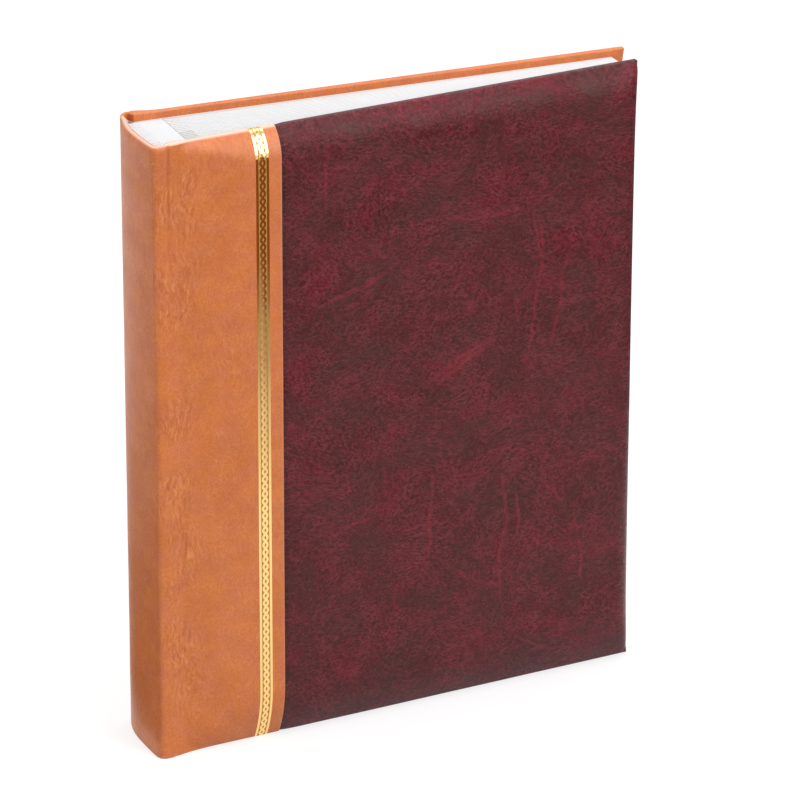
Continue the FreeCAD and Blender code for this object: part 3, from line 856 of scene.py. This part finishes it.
braid = bpy.data.node_groups.new("stamped_braid", "GeometryNodeTree")
braid.is_modifier = True
braid.interface.new_socket("Guide", in_out="INPUT", socket_type="NodeSocketGeometry")
band_values = (("Across", "Vector", (math.cos(WEDGE), math.sin(WEDGE), 0.0)),
               ("Repeat", "Float", BRAID_REPEAT), ("Swing", "Float", BRAID_SWING),
               ("Strand width", "Float", BRAID_STRAND), ("Line width", "Float", BAND_LINE),
               ("Line place", "Float", BAND_LINE_OFF), ("Foil height", "Float", 2 * FOIL),
               ("Finish", "Material", gold), ("Ground finish", "Material", foil_ground))
for label, kind, _ in band_values:
    braid.interface.new_socket(label, in_out="INPUT", socket_type=f"NodeSocket{kind}")
braid.interface.new_socket("Band", in_out="OUTPUT", socket_type="NodeSocketGeometry")
given = add(braid, "NodeGroupInput").outputs
path = add(braid, "GeometryNodeMeshToCurve", {"Mesh": given["Guide"]}).outputs["Curve"]


def vector_node(tree, operation, first, second):
    key = "Scale" if operation == "SCALE" else 1
    return add(tree, "ShaderNodeVectorMath", {0: first, key: second}, operation=operation).outputs[0]


def band_run(step, place, width):
    # one strand: the guide, moved across by place, with a flat strip swept along it
    even = add(braid, "GeometryNodeResampleCurve", {
        "Curve": path, "Length": step}, mode="LENGTH").outputs[0]
    tangent = add(braid, "GeometryNodeInputTangent").outputs[0]
    away = vector_node(braid, "CROSS_PRODUCT", given["Across"], tangent)
    kept = add(braid, "GeometryNodeCaptureAttribute", {"Geometry": even})
    kept.capture_items.new("VECTOR", "Away")
    braid.links.new(away, kept.inputs["Away"])
    away = kept.outputs["Away"]
    length = add(braid, "GeometryNodeSplineParameter").outputs["Length"]
    phase = math_node(braid, "MULTIPLY", math_node(braid, "DIVIDE", length, given["Repeat"]), 2 * math.pi)
    across, rise = place(phase)
    shift = vector_node(braid, "ADD", vector_node(braid, "SCALE", given["Across"], across),
                        vector_node(braid, "SCALE", away, rise))
    moved = add(braid, "GeometryNodeSetPosition", {"Geometry": kept.outputs[0], "Offset": shift}).outputs[0]
    turned = add(braid, "GeometryNodeSetCurveNormal", {"Curve": moved})
    turned.mode = "FREE"
    braid.links.new(away, turned.inputs["Normal"])
    strip = add(braid, "GeometryNodeCurvePrimitiveQuadrilateral", {
        "Width": given["Foil height"], "Height": width}, mode="RECTANGLE").outputs[0]
    return add(braid, "GeometryNodeCurveToMesh", {
        "Curve": turned.outputs[0], "Profile Curve": strip, "Fill Caps": True}).outputs[0]


def ground_place(phase):
    return 0.0, math_node(braid, "MULTIPLY", given["Foil height"], GROUND_SUNK)


def line_at(sign):
    return lambda phase: (math_node(braid, "MULTIPLY", given["Line place"], sign), 0.0)


def strand_at(sign):
    def place(phase):
        swing = math_node(braid, "MULTIPLY", math_node(braid, "SINE", phase), given["Swing"])
        lift = math_node(braid, "MULTIPLY", math_node(braid, "COSINE", phase), given["Foil height"])
        return (math_node(braid, "MULTIPLY", swing, sign),
                math_node(braid, "MULTIPLY", lift, BRAID_OVER * sign))
    return place


runs = [band_run(LINE_STEP, line_at(sign), given["Line width"]) for sign in (-1.0, 1.0)]
runs += [band_run(STRAND_STEP, strand_at(sign), given["Strand width"]) for sign in (1.0, -1.0)]
ground_run = band_run(LINE_STEP, ground_place, math_node(braid, "MULTIPLY", given["Line place"], 2.0))
joined = add(braid, "GeometryNodeJoinGeometry")
for run in runs:
    braid.links.new(run, joined.inputs[0])
bright = add(braid, "GeometryNodeSetMaterial", {
    "Geometry": joined.outputs[0], "Material": given["Finish"]}).outputs[0]
matt_strip = add(braid, "GeometryNodeSetMaterial", {
    "Geometry": ground_run, "Material": given["Ground finish"]}).outputs[0]
whole_band = add(braid, "GeometryNodeJoinGeometry")
for part in (bright, matt_strip):
    braid.links.new(part, whole_band.inputs[0])
real = add(braid, "GeometryNodeRealizeInstances", {"Geometry": whole_band.outputs[0]}).outputs[0]
braid.links.new(real, add(braid, "NodeGroupOutput").inputs["Band"])

stamp = band.modifiers.new("stamp", "NODES")
stamp.node_group = braid
sockets = {item.name: item.identifier for item in braid.interface.items_tree if item.in_out == "INPUT"}
for label, _, value in band_values:
    stamp[sockets[label]] = value
plain_band = made_plain(band)
plain_band.materials.pop(index=list(plain_band.materials).index(None))
plain_band.polygons.foreach_set("use_smooth", [True] * len(plain_band.polygons))
plain_band.set_sharp_from_angle(angle=SHARP_EDGE)
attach(band, "front_cover")
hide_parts("gold_band")

# Spine card and lining
# A bent strip of card that keeps the leather's round shape, and a strip of cloth glued to the back of
# the block and to the card.
SPINE_CARD = 0.001
CARD_SHORT = 0.0004
card_up = np.linspace(CAP_ROUND, COVER_HEIGHT - CAP_ROUND, 40)
card_faces = []
for lift in (-LEATHER, -LEATHER - SPINE_CARD):
    halves = []
    for side in (FRONT, BACK):
        ridge = RIDGES[side]
        card_out = spaced((-ridge.reach, 0.002), (ridge.round_from - CARD_SHORT, 0))
        card_grid = np.meshgrid(card_out, card_up)
        halves.append((on_album(side, *card_grid, np.full(card_grid[0].shape, lift)), card_grid[0]))
    card_faces.append(np.concatenate([halves[0][0][:, ::-1], halves[1][0][:, 1:]], 1))
card_spots = np.concatenate([-halves[0][1][:, ::-1], halves[1][1][:, 1:]], 1)
card = sheet_mesh("spine_card_bent", *card_faces,
                  np.stack(np.broadcast_arrays(card_spots, card_up[:, None]), -1))
card.data.materials.append(greyboard)
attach(card, "spine")
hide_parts("spine_card")
paint("spine_lining", linen)

# Endpapers
# Smooth white paper: one leaf is pasted over the board and turn-ins and runs into the joint, the other
# is the flyleaf.
PASTE_MARGIN = 0.0035
PASTE_SUNK = 0.0002
endpaper = paper("endpaper", linear(245, 245, 243), linear(240, 240, 238), 0.7, 0.000015)
for node in ("front_flyleaf", "back_flyleaf"):
    paint(node, endpaper)
paste_out = spaced((-0.0015, 0.0003), (0.004, 0.002), (0.012, 0.01), (COVER_WIDTH - PASTE_MARGIN, 0))
paste_up = np.linspace(PASTE_MARGIN, COVER_HEIGHT - PASTE_MARGIN, 30)
paste_grid = np.meshgrid(paste_out, paste_up)
for side, cover in ((FRONT, "front"), (BACK, "back")):
    depth = hide_depth(paste_grid[0]) + PASTE_SUNK * (1 - ease(paste_grid[0], 0.0, 0.005))
    pasted = sheet_mesh(f"{cover}_endpaper", on_album(side, *paste_grid, -depth - FLYLEAF_THICKNESS),
                        on_album(side, *paste_grid, -depth), np.stack(paste_grid, -1))
    pasted.data.materials.append(endpaper)
    ends = on_cover(side, np.array([BEND_FROM, BEND_TO]), np.zeros(2), np.zeros(2))
    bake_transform(pasted)
    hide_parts(f"{cover}_pastedown")

# Studio
# A pale floor in soft light, with dark cards for the leather to reflect, and the camera where the
# photograph was taken from.
FLOOR_HALF = 6
CARD_UP = 0.004
WHITE = (1, 1, 1, 1)


def emptied(tree):
    for old in list(tree.nodes):
        tree.nodes.remove(old)
    return tree


def seen_plainly(tree):
    # one for what is seen straight, in a reflection or through a film, nothing for the light it casts
    rays = add(tree, "ShaderNodeLightPath").outputs
    return strongest(tree, rays["Is Camera Ray"], rays["Is Glossy Ray"], rays["Is Transmission Ray"])


def level_sheet(name, west, east, near, far, up):
    mesh = bpy.data.meshes.new(name)
    corners = [(west, near, up), (east, near, up), (east, far, up), (west, far, up)]
    mesh.from_pydata(corners, [], [(0, 1, 2, 3)])
    material = bpy.data.materials.new(name)
    material.use_nodes = True
    mesh.materials.append(material)
    return put_in(name, mesh), emptied(material.node_tree)


world = bpy.data.worlds.new("studio")
bpy.context.scene.world = world
world.use_nodes = True
air = emptied(world.node_tree)
room = add(air, "ShaderNodeBackground", {"Color": WHITE, "Strength": 0.55})
white = add(air, "ShaderNodeBackground", {"Color": WHITE, "Strength": 1.0})
sky = add(air, "ShaderNodeMixShader", {0: seen_plainly(air), 1: room.outputs[0], 2: white.outputs[0]})
air.links.new(sky.outputs[0], add(air, "ShaderNodeOutputWorld").inputs["Surface"])

floor, ground = level_sheet("floor", -FLOOR_HALF, FLOOR_HALF, -FLOOR_HALF, FLOOR_HALF, 0)
matt = add(ground, "ShaderNodeBsdfDiffuse", {"Color": (0.45, 0.45, 0.45, 1)})
glow = add(ground, "ShaderNodeEmission", {
    "Color": WHITE, "Strength": math_node(ground, "MULTIPLY", seen_plainly(ground), 0.62)})
both = add(ground, "ShaderNodeAddShader", {0: matt.outputs[0], 1: glow.outputs[0]})
ground.links.new(both.outputs[0], add(ground, "ShaderNodeOutputMaterial").inputs["Surface"])


def softbox(name, place, aim, width, height, power):
    lamp = bpy.data.lights.new(name, "AREA")
    lamp.shape = "RECTANGLE"
    lamp.size, lamp.size_y = width, height
    lamp.energy = power
    made = put_in(name, lamp)
    made.location = place
    made.rotation_euler = (Vector(aim) - Vector(place)).to_track_quat("-Z", "Y").to_euler()


softbox("key", (0.95, -1.7, 1.4), (0, 0, 0.2), 1.0, 2.2, 30)
softbox("top", (0.1, 0.2, 1.8), (0, 0, 0.2), 1.4, 1.4, 14)
softbox("fill", (-1.8, -0.5, 1.6), (-0.1, 0, 0.25), 0.9, 0.9, 8)


def floor_card(name, west, east, near, far, colour, fade_from, fade_to):
    # a dark card on the floor that shows only as a reflection
    made, tree = level_sheet(name, west, east, near, far, CARD_UP)
    share = add(tree, "ShaderNodeMapRange", {
        "Value": add(tree, "ShaderNodeSeparateXYZ", {0: object_place(tree)}).outputs["Y"],
        "From Min": fade_from, "From Max": fade_to, "To Min": 1.0, "To Max": 0.0}).outputs[0]
    shown = add(tree, "ShaderNodeMixShader", {
        0: share, 1: add(tree, "ShaderNodeBsdfTransparent").outputs[0],
        2: add(tree, "ShaderNodeBsdfDiffuse", {"Color": colour}).outputs[0]})
    tree.links.new(shown.outputs[0], add(tree, "ShaderNodeOutputMaterial").inputs["Surface"])
    made.visible_camera = made.visible_shadow = made.visible_diffuse = False


floor_card("front_card", -0.6, 2.6, -2.0, -0.2, (0.16, 0.063, 0.023, 1), -0.52, -0.24)
floor_card("edge_card", 0.3, 2.2, -0.22, 1.6, (0.14, 0.1, 0.1, 1), 1.3, 1.6)
floor_card("side_card", -0.38, -0.13, -0.03, 0.42, (0.02, 0.01, 0.005, 1), 0.1, 0.42)

lens = bpy.data.cameras.new("camera")
camera = put_in("camera", lens)
bpy.context.scene.camera = camera
lens.sensor_width = 36
lens.lens = 262.71
lens.clip_start, lens.clip_end = 0.1, 50
camera.location = (-1.01376, -2.27544, 1.25157)
camera.rotation_euler = [math.radians(a) for a in (66.175, -0.128, -24.164)]
bpy.context.scene.view_settings.view_transform = "Standard"
